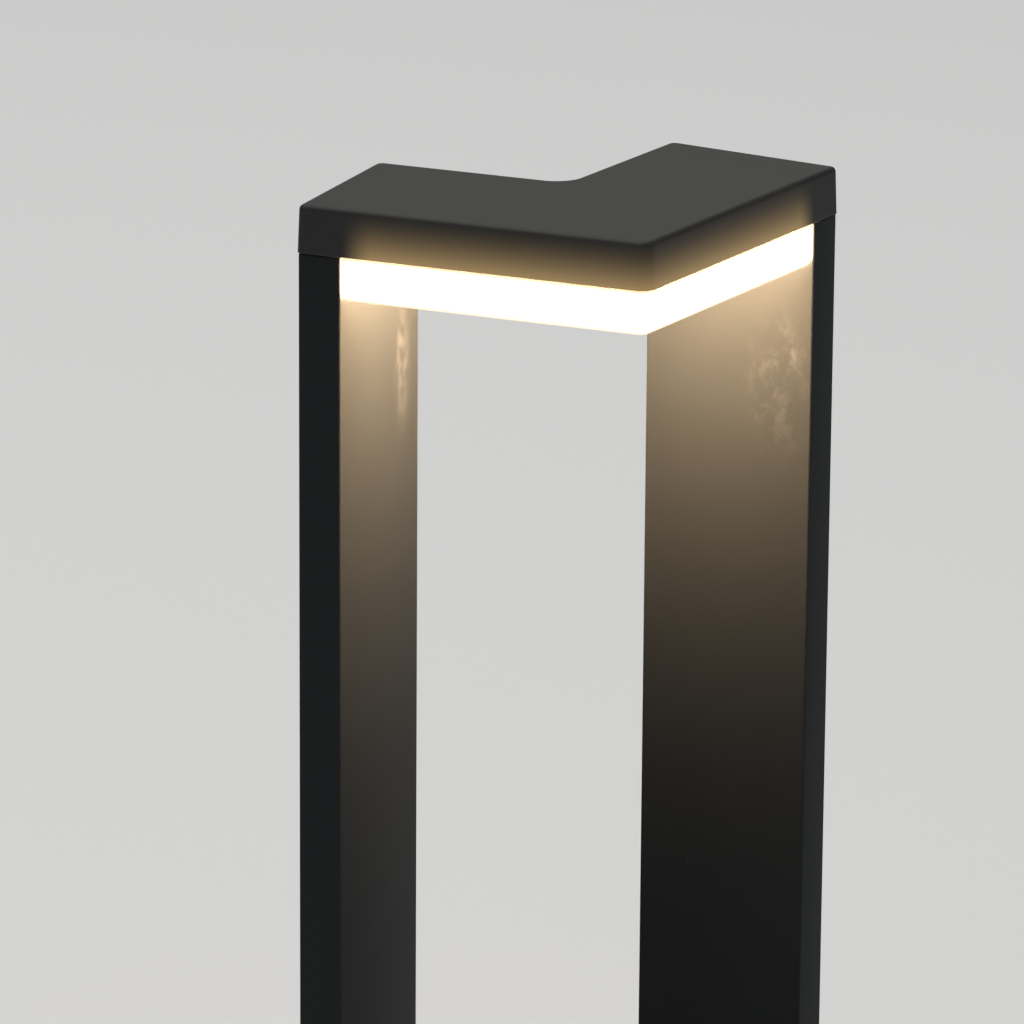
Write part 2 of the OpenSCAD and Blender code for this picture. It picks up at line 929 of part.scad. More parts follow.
module driver_input_lead() {
    color([0.15, 0.15, 0.16])
        tube(smooth([
            at(block_s - 1, box_mid, gland_z, -1), at(box_s0 - 4, box_mid, gland_z, -1),
            at(box_s0 - 11, box_mid, gland_z, -1), at(box_s0 - 17, box_mid, gland_z, -1),
            [-8, corner_y + 45, gland_z], [1, corner_y + 46.5, gland_z],
            [10, corner_y + 52.5, gland_z],
            at(driver_s0 - 6, driver_lead_d, driver_lead_z),
            at(driver_s0 + 4, driver_lead_d, driver_lead_z)], 3), lead_d, [0, 0, 1]);
}

module led_lead() {
    end_s = driver_s0 + driver_l;
    color([0.15, 0.15, 0.16])
        tube(smooth(concat(
            [at(end_s - 4, driver_lead_d, driver_lead_z),
             at(end_s + 4, driver_lead_d, driver_lead_z),
             at(post_s - 12, mid_d - 6, driver_lead_z),
             at(post_s - 4, mid_d - 2, driver_lead_z + 3),
             at(post_s, mid_d, inner_z - 4)],
            [for (i = [0:10]) at(post_s, mid_d, base_h + 10 + (rim_z - base_h - 20) * i / 10)],
            [at(post_s, mid_d, chassis_z + 0.5),
             at(post_s - 3, mid_d, wire_z - 1),
             at(post_s - 12, mid_d, wire_z + 0.2),
             at(conn_s + conn[0] / 2 + 16, mid_d, wire_z),
             at(conn_s + conn[0] / 2 + 6, mid_d, wire_z),
             at(conn_s + conn[0] / 2 - 5, mid_d, wire_z)]), 3), lead_d,
            [in_dir[0], in_dir[1], 0]);
}

head_cover();
head_chassis();
cover_screws();
post_top_screws();
post_top_seals();
thermal_pad();
led_board();
led_chips();
reflector_sheet();
board_screws();
board_connector();
head_grommet();
diffuser();
diffuser_gasket();
left_post();
right_post();
post_bottom_seals();
post_bottom_screws();
base_housing();
base_grommet();
anchor_plugs();
driver_case();
driver_screws();
junction_box();
junction_lid();
junction_seal();
junction_lid_screws();
junction_mount_screws();
supply_gland();
supply_gland_nut();
supply_gland_insert();
lead_gland();
lead_gland_nut();
terminal_block();
terminal_screws();
driver_input_lead();
led_lead();
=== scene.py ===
"""Bollard light with a folded head, shown in a plain pale studio.

Two flat posts stand at the ends of a chevron-shaped base and carry a chevron-shaped
head cover with a luminous opal tray beneath it. All sizes are metres in the row
frame: +Z up, the origin in the middle of the footprint, the fold pointing to -Y.
A place on an arm is given as (s, d): s runs along the arm from the sharp corner of
the outline, d runs from the outer face towards the inner one.
"""

import logging
import math
from dataclasses import dataclass, field
from enum import Enum
from typing import Callable

import bpy
import numpy as np
from mathutils import Matrix, Vector


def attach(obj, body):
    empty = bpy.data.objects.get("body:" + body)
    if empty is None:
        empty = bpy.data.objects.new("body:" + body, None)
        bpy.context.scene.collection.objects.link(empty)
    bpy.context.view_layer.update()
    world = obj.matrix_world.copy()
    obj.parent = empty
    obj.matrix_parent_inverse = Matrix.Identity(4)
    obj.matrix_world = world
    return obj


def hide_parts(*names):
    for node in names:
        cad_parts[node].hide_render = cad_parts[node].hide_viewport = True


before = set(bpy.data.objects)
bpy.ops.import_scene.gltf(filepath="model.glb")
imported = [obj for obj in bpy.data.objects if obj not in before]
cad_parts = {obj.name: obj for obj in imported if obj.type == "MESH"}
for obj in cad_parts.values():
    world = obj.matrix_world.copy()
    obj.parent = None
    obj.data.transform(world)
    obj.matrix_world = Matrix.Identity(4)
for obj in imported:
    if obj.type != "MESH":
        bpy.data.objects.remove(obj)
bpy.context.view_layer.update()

logging.basicConfig(level=logging.INFO, format="%(message)s")
LOG = logging.getLogger("bollard")

ROOT_BODY = "root"
MM = 0.001

Colour = tuple[float, float, float]
Rings = list[np.ndarray]


class Slot(Enum):
    """The record's material slots that the pieces take their finish from."""

    POWDER = "powder_coat"
    COVER = "cover_coat"
    OPAL = "opal"
    ALUMINIUM = "bare_aluminium"
    STAINLESS = "stainless"
    RUBBER = "black_rubber"
    PAD = "pad_grey"
    BOARD = "board_white"
    CHIP = "chip_yellow"
    REFLECTOR = "reflector_white"
    PLUG = "plug_black"
    GEAR = "gear_grey"
    DRIVER = "driver_white"
    CONNECTOR = "connector_cream"
    LEAD = "lead_black"


# ---------------------------------------------------------------- plan geometry


@dataclass(frozen=True)
class Chevron:
    """The folded outline that the head, tray and base share.

    Attributes:
        arm: length of an arm's outer face, from the sharp corner to its end.
        width: width of an arm.
        fold: inside angle of the fold, in degrees.
        corner_r: radius of the outer corner of the fold.
        notch_r: radius of the inner corner of the fold.
        end_r: radius of the outer upright edges at the arm ends.
        back_r: radius of the inner upright edges at the arm ends.
    """

    arm: float = 180 * MM
    width: float = 94 * MM
    fold: float = 99.0
    corner_r: float = 7.5 * MM
    notch_r: float = 13 * MM
    end_r: float = 2 * MM
    back_r: float = 4 * MM

    @property
    def half(self) -> float:
        """Half of the fold's angle, in radians."""
        return math.radians(self.fold / 2)

    @property
    def along(self) -> np.ndarray:
        """Direction of the right arm, away from the fold."""
        return np.array([math.sin(self.half), math.cos(self.half)])

    @property
    def inward(self) -> np.ndarray:
        """Direction across the right arm, from its outer to its inner face."""
        return np.array([-math.cos(self.half), math.sin(self.half)])

    @property
    def corner_y(self) -> float:
        """Y of the sharp corner, with the rounded outline centred on the origin."""
        sin, cos = math.sin(self.half), math.cos(self.half)
        front = self.corner_r * (1 / sin - 1)
        back = self.arm * cos + self.width * sin - self.back_r * (sin + cos - 1)
        return -(front + back) / 2

    def place(self, s: float, d: float, side: int = 1) -> np.ndarray:
        """The plan point of (s, d) on an arm.

        Args:
            s: distance along the arm from the sharp corner.
            d: distance in from the outer face.
            side: 1 for the right arm, -1 for the left one.

        Returns:
            The point as [x, y].
        """
        p = self.along * s + self.inward * d
        return np.array([side * p[0], p[1] + self.corner_y])

    def outline(self, inset: float, length: float, end_r: float, steps: int = 20) -> np.ndarray:
        """One closed, counter-clockwise ring of the chevron with rounded corners.

        A corner between faces with the outward directions u and v is an arc round
        c = p - r (u + v) / (1 + u.v), where r is negative for the inward corner. A
        point is added a little before and after each arc, to keep the faces flat.

        Args:
            inset: how far the long faces stand in from the nominal outline.
            length: distance from the sharp corner to the arm's end face.
            end_r: radius of the upright edges at the end.
            steps: segments in the arcs at the fold.

        Returns:
            Points of shape (n, 2), the same n for every inset.
        """
        h = math.degrees(self.half)
        sin = math.sin(self.half)
        w = self.width - inset
        tip = max(self.corner_r - inset, 0.4 * MM)
        few = 8
        back_r = end_r + self.back_r - self.end_r
        corners = (
            (np.array([0.0, self.corner_y + inset / sin]), 180 + h, 360 - h, tip, steps),
            (self.place(length, inset), -h, 90 - h, end_r, few),
            (self.place(length, w), 90 - h, 180 - h, back_r, few),
            (np.array([0.0, self.corner_y + w / sin]), 180 - h, h, -(self.notch_r + inset), steps),
            (self.place(length, w, -1), h, 90 + h, back_r, few),
            (self.place(length, inset, -1), 90 + h, 180 + h, end_r, few),
        )
        return np.concatenate([self._corner(*c) for c in corners])

    @staticmethod
    def _corner(p: np.ndarray, a0: float, a1: float, r: float, steps: int) -> np.ndarray:
        """The arc of one rounded corner, with a holding point at each side.

        Args:
            p: the sharp corner.
            a0: outward direction of the face before it, in degrees.
            a1: outward direction of the face after it, in degrees.
            r: radius, negative for a corner that turns inwards.
            steps: segments in the arc.

        Returns:
            Points of shape (steps + 3, 2).
        """
        a = np.radians(np.linspace(a0, a1, steps + 1))
        ray = np.stack([np.cos(a), np.sin(a)], axis=1)
        u, v = ray[0], ray[-1]
        arc = p - r * (u + v) / (1 + u @ v) + r * ray
        before = arc[0] - np.array([-u[1], u[0]]) * 0.8 * MM
        after = arc[-1] + np.array([-v[1], v[0]]) * 0.8 * MM
        return np.concatenate([before[None], arc, after[None]])


def lift(ring: np.ndarray, z: float) -> np.ndarray:
    """A plan ring raised to the height z.

    Args:
        ring: points of shape (n, 2).
        z: height of the ring.

    Returns:
        Points of shape (n, 3).
    """
    return np.column_stack([ring, np.full(len(ring), z)])


def box_rings(s: tuple[float, float], d: tuple[float, float], z: tuple[float, float],
              plan: Chevron, side: int = 1) -> Rings:
    """The two rings of a square block on an arm.

    Args:
        s: lowest and highest distance along the arm.
        d: lowest and highest distance in from the outer face.
        z: lowest and highest height.
        plan: the outline that gives the arm's direction.
        side: 1 for the right arm, -1 for the left one.

    Returns:
        The bottom and the top ring, counter-clockwise from above.
    """
    ring = np.array([plan.place(a, b, side) for a, b in
                     ((s[0], d[0]), (s[1], d[0]), (s[1], d[1]), (s[0], d[1]))])
    ring = ring if side > 0 else ring[::-1]
    return [lift(ring, z[0]), lift(ring, z[1])]


def circle_rings(x: float, y: float, r: float, z: tuple[float, float], steps: int = 32) -> Rings:
    """The two rings of an upright cylinder: centre + r (cos a, sin a).

    Args:
        x: centre of the circle along X.
        y: centre of the circle along Y.
        r: radius.
        z: lowest and highest height.
        steps: segments round the circle.

    Returns:
        The bottom and the top ring, counter-clockwise from above.
    """
    a = np.linspace(0, 2 * np.pi, steps, endpoint=False)
    ring = np.column_stack([x + r * np.cos(a), y + r * np.sin(a)])
    return [lift(ring, z[0]), lift(ring, z[1])]


class Surface:
    """Vertices and faces that grow ring stack by ring stack into one mesh."""

    def __init__(self) -> None:
        """Start with no vertices and no faces."""
        self.points: list[np.ndarray] = []
        self.faces: list[np.ndarray] = []
        self.count = 0

    def stack(self, rings: Rings, closed: bool = False) -> "Surface":
        """Skin a stack of equal rings with quads and close it.

        Ring k, point i is joined to point i + 1 and to the same points of ring
        k + 1, so a face is (k, i), (k, i + 1), (k + 1, i + 1), (k + 1, i).

        Args:
            rings: rings of n points each, in the order of the section's outline.
            closed: True joins the last ring to the first, as for a tube wall;
                False closes the first and last ring with a flat face each.

        Returns:
            This surface, for a further stack.
        """
        grid = np.stack(rings)
        m, n = grid.shape[:2]
        index = np.arange(m * n).reshape(m, n) + self.count
        upper = np.roll(index, -1, axis=0) if closed else index[1:]
        lower = index if closed else index[:-1]
        quads = np.stack([lower, np.roll(lower, -1, 1), np.roll(upper, -1, 1), upper], axis=-1)
        self.faces.append(quads.reshape(-1, 4))
        if not closed:
            self.faces.append(index[0][::-1][None])
            self.faces.append(index[-1][None])
        self.points.append(grid.reshape(-1, 3))
        self.count += m * n
        return self

    def build(self, name: str, sharp_deg: float = 32.0) -> bpy.types.Object:
        """Make the mesh object and put it in the scene.

        Args:
            name: name of the object.
            sharp_deg: edges that bend more than this are shaded sharp.

        Returns:
            The object, at the origin, unturned and unscaled.
        """
        points = np.concatenate(self.points)
        totals = np.concatenate([np.full(len(f), f.shape[1]) for f in self.faces])
        loops = np.concatenate([f.ravel() for f in self.faces])
        mesh = bpy.data.meshes.new(name)
        mesh.vertices.add(len(points))
        mesh.vertices.foreach_set("co", points.ravel())
        mesh.loops.add(len(loops))
        mesh.loops.foreach_set("vertex_index", loops)
        mesh.polygons.add(len(totals))
        mesh.polygons.foreach_set("loop_start", np.cumsum(totals) - totals)
        mesh.polygons.foreach_set("loop_total", totals)
        mesh.polygons.foreach_set("use_smooth", np.ones(len(totals), dtype=bool))
        mesh.update(calc_edges=True)
        mesh.validate()
        mesh.set_sharp_from_angle(angle=math.radians(sharp_deg))
        obj = bpy.data.objects.new(name, mesh)
        bpy.context.scene.collection.objects.link(obj)
        return obj


# ---------------------------------------------------------------- materials


class Nodes:
    """A small helper that adds and joins nodes in one node tree."""

    def __init__(self, tree: bpy.types.NodeTree) -> None:
        """Keep the tree that the nodes go into.

        Args:
            tree: a material's or a group's node tree.
        """
        self.tree = tree

    def add(self, kind: str, inputs: dict | None = None, **settings: object) -> bpy.types.Node:
        """Add a node, set its settings and fill or join its inputs.

        Args:
            kind: the node's type name.
            inputs: socket name or index to a constant or to another node's socket.
            **settings: properties of the node.

        Returns:
            The new node.
        """
        node = self.tree.nodes.new(kind)
        for key, value in settings.items():
            setattr(node, key, value)
        for key, value in (inputs or {}).items():
            if isinstance(value, bpy.types.NodeSocket):
                self.tree.links.new(value, node.inputs[key])
            else:
                node.inputs[key].default_value = value
        return node

    def math(self, operation: str, *values: object, clamp: bool = False) -> bpy.types.NodeSocket:
        """A math node's result.

        Args:
            operation: the node's operation.
            *values: constants or sockets, in order.
            clamp: whether the result is held between 0 and 1.

        Returns:
            The value socket.
        """
        return self.add("ShaderNodeMath", dict(enumerate(values)), operation=operation,
                        use_clamp=clamp).outputs[0]

    def noise(self, vector: bpy.types.NodeSocket, scale: float, detail: float = 4.0,
              rough: float = 0.55) -> bpy.types.NodeSocket:
        """A noise value over a coordinate.

        Args:
            vector: the coordinate socket.
            scale: noise scale, per metre.
            detail: number of octaves.
            rough: weight of the finer octaves.

        Returns:
            The factor socket.
        """
        node = self.add("ShaderNodeTexNoise", {"Vector": vector, "Scale": scale,
                                               "Detail": detail, "Roughness": rough})
        return node.outputs[0]

    def ramp(self, value: bpy.types.NodeSocket, low: float, high: float,
             out_low: float = 0.0, out_high: float = 1.0) -> bpy.types.NodeSocket:
        """A smooth step of a value between two limits.

        Args:
            value: the socket to map.
            low: value that gives out_low.
            high: value that gives out_high.
            out_low: result at the low limit.
            out_high: result at the high limit.

        Returns:
            The mapped value.
        """
        return self.add("ShaderNodeMapRange", {"Value": value, "From Min": low, "From Max": high,
                                               "To Min": out_low, "To Max": out_high},
                        interpolation_type="SMOOTHSTEP").outputs[0]

    def mix(self, factor: object, a: object, b: object) -> bpy.types.NodeSocket:
        """A colour mixed from two colours.

        Args:
            factor: 0 gives a, 1 gives b.
            a: first colour or socket.
            b: second colour or socket.

        Returns:
            The colour socket.
        """
        return self.add("ShaderNodeMix", {0: factor, 6: a, 7: b}, data_type="RGBA").outputs[2]


def rgba(colour: Colour) -> tuple[float, float, float, float]:
    """A colour with full alpha.

    Args:
        colour: red, green and blue, linear.

    Returns:
        The four-part colour.
    """
    return (*colour, 1.0)


def surface_wear_group() -> bpy.types.NodeTree:
    """The shared wear group: fine grain height, a smudge mask and a dust mask.

    Returns:
        The node group, made once and used by every coated or moulded finish.
    """
    name = "SurfaceWear"
    if name in bpy.data.node_groups:
        return bpy.data.node_groups[name]
    group = bpy.data.node_groups.new(name, "ShaderNodeTree")
    group.interface.new_socket("Grain Scale", in_out="INPUT", socket_type="NodeSocketFloat")
    for label in ("Grain", "Smudge", "Dust"):
        group.interface.new_socket(label, in_out="OUTPUT", socket_type="NodeSocketFloat")
    n = Nodes(group)
    given = n.add("NodeGroupInput")
    coords = n.add("ShaderNodeTexCoord").outputs["Object"]
    grain = n.add("ShaderNodeTexNoise", {"Vector": coords, "Scale": given.outputs[0],
                                         "Detail": 3.0, "Roughness": 0.6}).outputs[0]
    wide = n.noise(coords, 9.0, 5.0, 0.6)
    streak_at = n.add("ShaderNodeMapping", {"Vector": coords, "Scale": (60.0, 60.0, 9.0)})
    streak = n.noise(streak_at.outputs[0], 1.0, 4.0, 0.65)
    smudge = n.math("MULTIPLY", n.ramp(wide, 0.45, 0.72), n.ramp(streak, 0.4, 0.75))
    dust = n.ramp(n.noise(coords, 420.0, 2.0, 0.5), 0.66, 0.78)
    n.add("NodeGroupOutput", {0: grain, 1: smudge, 2: dust})
    return group


@dataclass(frozen=True)
class Finish:
    """A plain surface with fine grain and light smudges.

    Attributes:
        slot: the record's slot that it stands for.
        base: base colour, linear.
        rough: roughness away from any smudge.
        metallic: metalness.
        coat: weight of the clear coat.
        specular: strength of the plain reflection.
        grain: scale of the fine grain, per metre.
        grain_depth: height of the grain, in metres.
        wear: how strongly smudges lighten and roughen the surface.
    """

    slot: Slot
    base: Colour
    rough: float = 0.5
    metallic: float = 0.0
    coat: float = 0.0
    specular: float = 0.5
    grain: float = 1500.0
    grain_depth: float = 0.00004
    wear: float = 0.3

    def make(self) -> bpy.types.Material:
        """Build the material.

        Returns:
            The new material, named after its slot.
        """
        material = bpy.data.materials.new(self.slot.value)
        material.use_nodes = True
        material.diffuse_color = rgba(self.base)
        material.node_tree.nodes.clear()
        n = Nodes(material.node_tree)
        wear = n.add("ShaderNodeGroup", {}, node_tree=surface_wear_group())
        wear.inputs[0].default_value = self.grain
        shader = n.add("ShaderNodeBsdfPrincipled")
        self.dress(n, shader, wear)
        n.add("ShaderNodeOutputMaterial", {"Surface": shader.outputs[0]})
        return material

    def dress(self, n: Nodes, shader: bpy.types.Node, wear: bpy.types.Node) -> None:
        """Drive the shader's sockets from the wear group.

        Args:
            n: helper of the material's tree.
            shader: the Principled shader.
            wear: the wear group's node.
        """
        grain, smudge, dust = wear.outputs[:3]
        lighter = rgba(tuple(min(c * 1.6 + 0.03, 1.0) for c in self.base))
        speck = rgba(tuple(min(c * 1.9 + 0.04, 1.0) for c in self.base))
        amount = n.math("MULTIPLY", smudge, self.wear)
        worn = n.mix(amount, rgba(self.base), lighter)
        colour = n.mix(n.math("MULTIPLY", dust, 0.5 * self.wear), worn, speck)
        rough = n.math("ADD", n.math("MULTIPLY", amount, 0.25),
                       n.math("ADD", n.math("MULTIPLY", grain, 0.1), self.rough - 0.05), clamp=True)
        bump = n.add("ShaderNodeBump", {"Height": n.math("MULTIPLY", grain, self.grain_depth),
                                        "Strength": 1.0, "Distance": 1.0})
        links = n.tree.links
        links.new(colour, shader.inputs["Base Color"])
        links.new(rough, shader.inputs["Roughness"])
        links.new(bump.outputs[0], shader.inputs["Normal"])
        shader.inputs["Metallic"].default_value = self.metallic
        shader.inputs["Coat Weight"].default_value = self.coat
        shader.inputs["Coat Roughness"].default_value = 0.25
        shader.inputs["Specular IOR Level"].default_value = self.specular


@dataclass(frozen=True)
class Scuff:
    """One patch of dried splash marks.

    Attributes:
        centre: its middle, in metres.
        extent: its half extent on each axis.
        strength: how pale it is.
        grain: noise scale of its streaks, across and up, per metre.
        step: noise values at which a streak starts and is full.
    """

    centre: tuple[float, float, float]
    extent: tuple[float, float, float]
    strength: float
    grain: tuple[float, float] = (150.0, 70.0)
    step: tuple[float, float] = (0.42, 0.66)


@dataclass(frozen=True)
class ScuffedCoat(Finish):
    """Powder coat with dried splash marks at given places.

    Attributes:
        scuffs: the patches of marks.
        fleck_cells: cells per metre that may hold one small fleck each.
        fleck_part: part of the cells that hold one.
        fleck_r: radii where a fleck starts and is full, as parts of a cell.
        fleck_strength: how pale a fleck is.
    """

    scuffs: tuple[Scuff, ...] = ()
    fleck_cells: float = 42.0
    fleck_part: float = 0.6
    fleck_r: tuple[float, float] = (0.045, 0.02)
    fleck_strength: float = 0.7

    def dress(self, n: Nodes, shader: bpy.types.Node, wear: bpy.types.Node) -> None:
        """Add the patches of marks over the plain coat.

        A patch is full at its centre and fades to 0 at its half extent; inside it a
        stretched noise leaves short broken streaks. Sparse flecks lie all over.

        Args:
            n: helper of the material's tree.
            shader: the Principled shader.
            wear: the wear group's node.
        """
        super().dress(n, shader, wear)
        coords = n.add("ShaderNodeTexCoord").outputs["Object"]
        total = self.flecks(n, coords)
        for scuff in self.scuffs:
            across, up = scuff.grain
            fine_at = n.add("ShaderNodeMapping", {"Vector": coords, "Scale": (across, across, up)})
            streaks = n.ramp(n.noise(fine_at.outputs[0], 1.0, 5.0, 0.7), *scuff.step)
            away = n.add("ShaderNodeVectorMath", {0: coords, 1: scuff.centre}, operation="SUBTRACT")
            scaled = n.add("ShaderNodeVectorMath", {0: away.outputs[0], 1: scuff.extent},
                           operation="DIVIDE")
            far = n.add("ShaderNodeVectorMath", {0: scaled.outputs[0]}, operation="LENGTH")
            patch = n.ramp(far.outputs["Value"], 1.0, 0.25, 0.0, scuff.strength)
            total = n.math("MULTIPLY_ADD", patch, streaks, total)
        mask = n.math("MINIMUM", total, 1.0)
        plain = shader.inputs["Base Color"].links[0].from_socket
        rough = shader.inputs["Roughness"].links[0].from_socket
        pale = rgba(tuple(min(c * 2.4 + 0.03, 1.0) for c in self.base))
        links = n.tree.links
        links.new(n.mix(mask, plain, pale), shader.inputs["Base Color"])
        links.new(n.math("ADD", rough, n.math("MULTIPLY", mask, 0.2), clamp=True),
                  shader.inputs["Roughness"])

    def flecks(self, n: Nodes, coords: bpy.types.NodeSocket) -> bpy.types.NodeSocket:
        """Small pale dots: the middles of a few cells of a cell pattern.

        Args:
            n: helper of the material's tree.
            coords: the object coordinates.

        Returns:
            The mask of the dots.
        """
        cells = n.add("ShaderNodeTexVoronoi", {"Vector": coords, "Scale": self.fleck_cells})
        pick = n.add("ShaderNodeSeparateXYZ", {0: cells.outputs["Color"]}).outputs["X"]
        chosen = n.math("LESS_THAN", pick, self.fleck_part)
        dot = n.ramp(cells.outputs["Distance"], *self.fleck_r, 0.0, self.fleck_strength)
        return n.math("MULTIPLY", dot, chosen)


def arm_distance(n: Nodes, parts: bpy.types.Node) -> bpy.types.NodeSocket:
    """The distance along an arm, from the sharp corner, of a point of the object.

    It is |x| times the arm direction's x part, plus the distance from the sharp corner
    in y times the direction's y part.

    Args:
        n: helper of the material's tree.
        parts: the node that separates the object coordinates.

    Returns:
        The distance in metres.
    """
    plan = Chevron()
    across, ahead = (float(v) for v in plan.along)
    side = n.math("MULTIPLY", n.math("ABSOLUTE", parts.outputs["X"]), across)
    forward = n.math("SUBTRACT", parts.outputs["Y"], float(plan.corner_y))
    return n.math("MULTIPLY_ADD", forward, ahead, side)


@dataclass(frozen=True)
class PaintedGlowCoat(Finish):
    """Powder coat with painted light: a warm glow painted as emission along its lower edge, standing
    in for the tray's light that does not fall there, and a top painted lighter.

    Attributes:
        top: base colour where it faces up, painted lighter: painted light on the upward faces.
        rim_z: height of the cover's rim.
        reach: how far above the rim the painted glow is still seen.
        glow: emission colour of the painted glow.
        strength: emission of the painted glow at the rim.
        exponent: how fast the painted glow falls off above the rim.
        end_s: distances along the arm where the painted glow starts to fail and is gone.
    """

    top: Colour = (0.0480, 0.0495, 0.0445)
    rim_z: float = 0.576
    reach: float = 0.026
    glow: Colour = (1.0, 0.66, 0.28)
    strength: float = 0.33
    exponent: float = 2.25
    end_s: tuple[float, float] = (0.140, 0.158)

    def dress(self, n: Nodes, shader: bpy.types.Node, wear: bpy.types.Node) -> None:
        """Add the painted glow as emission: (1 - height / reach) to the exponent, none at the arm
        ends; paint the upward faces lighter.

        Args:
            n: helper of the material's tree.
            shader: the Principled shader.
            wear: the wear group's node.
        """
        super().dress(n, shader, wear)
        # Painted light: the faces that point up get a lighter base colour.
        faces = n.add("ShaderNodeSeparateXYZ", {0: n.add("ShaderNodeNewGeometry").outputs["Normal"]})
        flat = n.ramp(faces.outputs["Z"], 0.8, 1.0)
        plain = shader.inputs["Base Color"].links[0].from_socket
        n.tree.links.new(n.mix(flat, plain, rgba(self.top)), shader.inputs["Base Color"])
        # Painted glow: emission near the rim that fades upwards and at the arm ends; no light falls
        # here.
        coords = n.add("ShaderNodeTexCoord").outputs["Object"]
        parts = n.add("ShaderNodeSeparateXYZ", {0: coords})
        up = n.add("ShaderNodeMapRange", {"Value": parts.outputs["Z"], "From Min": self.rim_z,
                                          "From Max": self.rim_z + self.reach,
                                          "To Min": 1.0, "To Max": 0.0}).outputs[0]
        ends = n.ramp(arm_distance(n, parts), *self.end_s, 1.0, 0.0)
        amount = n.math("MULTIPLY", n.math("POWER", up, self.exponent), ends)
        n.tree.links.new(n.math("MULTIPLY", amount, self.strength), shader.inputs["Emission Strength"])
        shader.inputs["Emission Color"].default_value = rgba(self.glow)


@dataclass(frozen=True)
class OpalGlow(Finish):
    """Luminous opal plastic, seen softer than the light that it throws.

    Attributes:
        glow: colour of the light that it throws on the scene.
        seen_glow: emission colour towards the camera.
        thrown: emission towards the rest of the scene.
        near: distance up to which the thrown light is full.
        far: distance from which the thrown light falls no further.
        seen: emission towards the camera.
        far_part: the part that is left from there on.
        span: lowest and highest z of the luminous face.
        end_s: distance along the arm where the luminous face ends.
        corner: radius of the luminous face's corners at its ends.
        edge_glow: emission colour towards the camera at its edges.
        edge_level: emission there, as a part of that in the middle.
        edge_band: where that edge starts and is full, as parts of the corner radius.
    """

    glow: Colour = (1.0, 0.645, 0.36)
    seen_glow: Colour = (1.0, 0.93, 0.8)
    thrown: float = 105.0
    near: float = 0.06
    far: float = 0.38
    far_part: float = 0.05
    seen: float = 1.35
    span: tuple[float, float] = (0.5550, 0.5755)
    end_s: float = 0.1576
    corner: float = 0.0052
    edge_glow: Colour = (1.0, 0.74, 0.44)
    edge_level: float = 0.62
    edge_band: tuple[float, float] = (0.62, 1.1)

    def dress(self, n: Nodes, shader: bpy.types.Node, wear: bpy.types.Node) -> None:
        """Light the tray as a long face with rounded corners and warm edges.

        With u and v as far as a point lies past the corner circles' middles, along the
        arm and up or down, the edge is at sqrt(u^2 + v^2) = radius.

        Args:
            n: helper of the material's tree.
            shader: the Principled shader.
            wear: the wear group's node.
        """
        super().dress(n, shader, wear)
        facing = n.add("ShaderNodeLayerWeight", {"Blend": 0.35}).outputs["Facing"]
        coords = n.add("ShaderNodeTexCoord").outputs["Object"]
        cloud = n.noise(coords, 26.0, 2.0, 0.5)
        parts = n.add("ShaderNodeSeparateXYZ", {0: coords})
        middle, half = sum(self.span) / 2, (self.span[1] - self.span[0]) / 2
        off = n.math("ABSOLUTE", n.math("SUBTRACT", parts.outputs["Z"], middle))
        v = n.math("MAXIMUM", n.math("SUBTRACT", off, half - self.corner), 0.0)
        u = n.math("MAXIMUM", n.math("SUBTRACT", arm_distance(n, parts),
                                     self.end_s - self.corner), 0.0)
        away = n.math("SQRT", n.math("MULTIPLY_ADD", u, u, n.math("MULTIPLY", v, v)))
        edge = n.ramp(away, *(part * self.corner for part in self.edge_band))
        eye = n.math("MULTIPLY", n.ramp(facing, 0.3, 1.0, self.seen, 0.72 * self.seen),
                     n.ramp(cloud, 0.2, 0.8, 0.95, 1.05))
        eye = n.math("MULTIPLY", eye, n.math("MULTIPLY_ADD", edge, self.edge_level - 1.0, 1.0))
        path = n.add("ShaderNodeLightPath")
        camera = path.outputs["Is Camera Ray"]
        thrown = n.ramp(path.outputs["Ray Length"], self.near, self.far,
                        self.thrown, self.far_part * self.thrown)
        strength = n.add("ShaderNodeMix", {0: camera, 2: thrown, 3: eye}, data_type="FLOAT")
        seen = n.mix(edge, rgba(self.seen_glow), rgba(self.edge_glow))
        colour = n.mix(camera, rgba(self.glow), seen)
        n.tree.links.new(colour, shader.inputs["Emission Color"])
        n.tree.links.new(strength.outputs[0], shader.inputs["Emission Strength"])


COAT: Colour = (0.0160, 0.0184, 0.0200)

